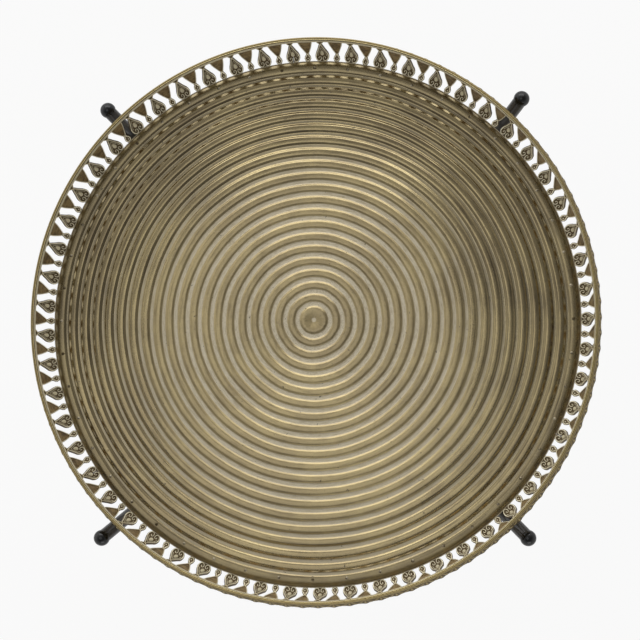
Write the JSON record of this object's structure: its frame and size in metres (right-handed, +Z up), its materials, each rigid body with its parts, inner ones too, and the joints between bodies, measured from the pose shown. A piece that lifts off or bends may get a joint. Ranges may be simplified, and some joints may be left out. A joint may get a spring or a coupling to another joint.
{
  "type": "tray table",
  "caption": "Round ribbed brass tray with a pierced heart-and-goblet gallery, resting loose on a folding stand of crossed black metal tubes with ball ends",
  "frame": {"origin": "on the floor, under the middle of the tray and on the stand's upright pivot", "axes": "+Z is up along the pivot; +Y points to the side of the tray with the gallery's first joint; the four arms stand about 45 degrees between +X and +Y"},
  "size_m": [0.503, 0.5028, 0.5069],
  "materials": {
    "pan_brass": "antique brass, polished lands over dull grey channels",
    "gallery_brass": "stamped antique brass, dark in the relief",
    "rim_brass": "brass worn bright along the crest",
    "rivet_brass": "small domed heads, tarnished",
    "black_paint": "black enamel on steel tube, slightly worn",
    "ball_black": "glossy black ball plugs",
    "foot_rubber": "matt black rubber",
    "bolt_steel": "blackened steel bolt, nut and washers"
  },
  "bodies": {
    "stand_base": {"pivot_sleeve_upper": "black_paint", "arm_nw": "black_paint", "arm_se": "black_paint", "leg_nw": "black_paint", "leg_se": "black_paint", "ball_cap_nw": "ball_black", "ball_cap_se": "ball_black", "foot_nw": "foot_rubber", "foot_se": "foot_rubber", "pivot_bolt": "bolt_steel", "pivot_nut": "bolt_steel", "pivot_spacer": "black_paint", "washer_top": "bolt_steel", "washer_middle": "bolt_steel", "washer_bottom": "bolt_steel"},
    "stand_swing": {"pivot_sleeve_lower": "black_paint", "arm_ne": "black_paint", "arm_sw": "black_paint", "leg_ne": "black_paint", "leg_sw": "black_paint", "ball_cap_ne": "ball_black", "ball_cap_sw": "ball_black", "foot_ne": "foot_rubber", "foot_sw": "foot_rubber"},
    "tray": {"tray_pan": "pan_brass", "gallery_strip_1": "gallery_brass", "gallery_strip_2": "gallery_brass", "gallery_strip_3": "gallery_brass", "rim_bead": "rim_brass", "rim_apron": "rim_brass", "gallery_rivets": "rivet_brass", "gallery_joint_plates": "gallery_brass"}
  },
  "joints": [
    {"name": "stand_fold", "type": "hinge", "parent": "stand_base", "child": "stand_swing", "pos_m": [0, 0, 0.183], "axis": [0, 0, 1], "range_deg": [0, 67]},
    {"name": "tray_lift", "type": "slide", "parent": "stand_base", "child": "tray", "axis": [0, 0, 1], "range_m": [0, 0.25]}
  ]
}
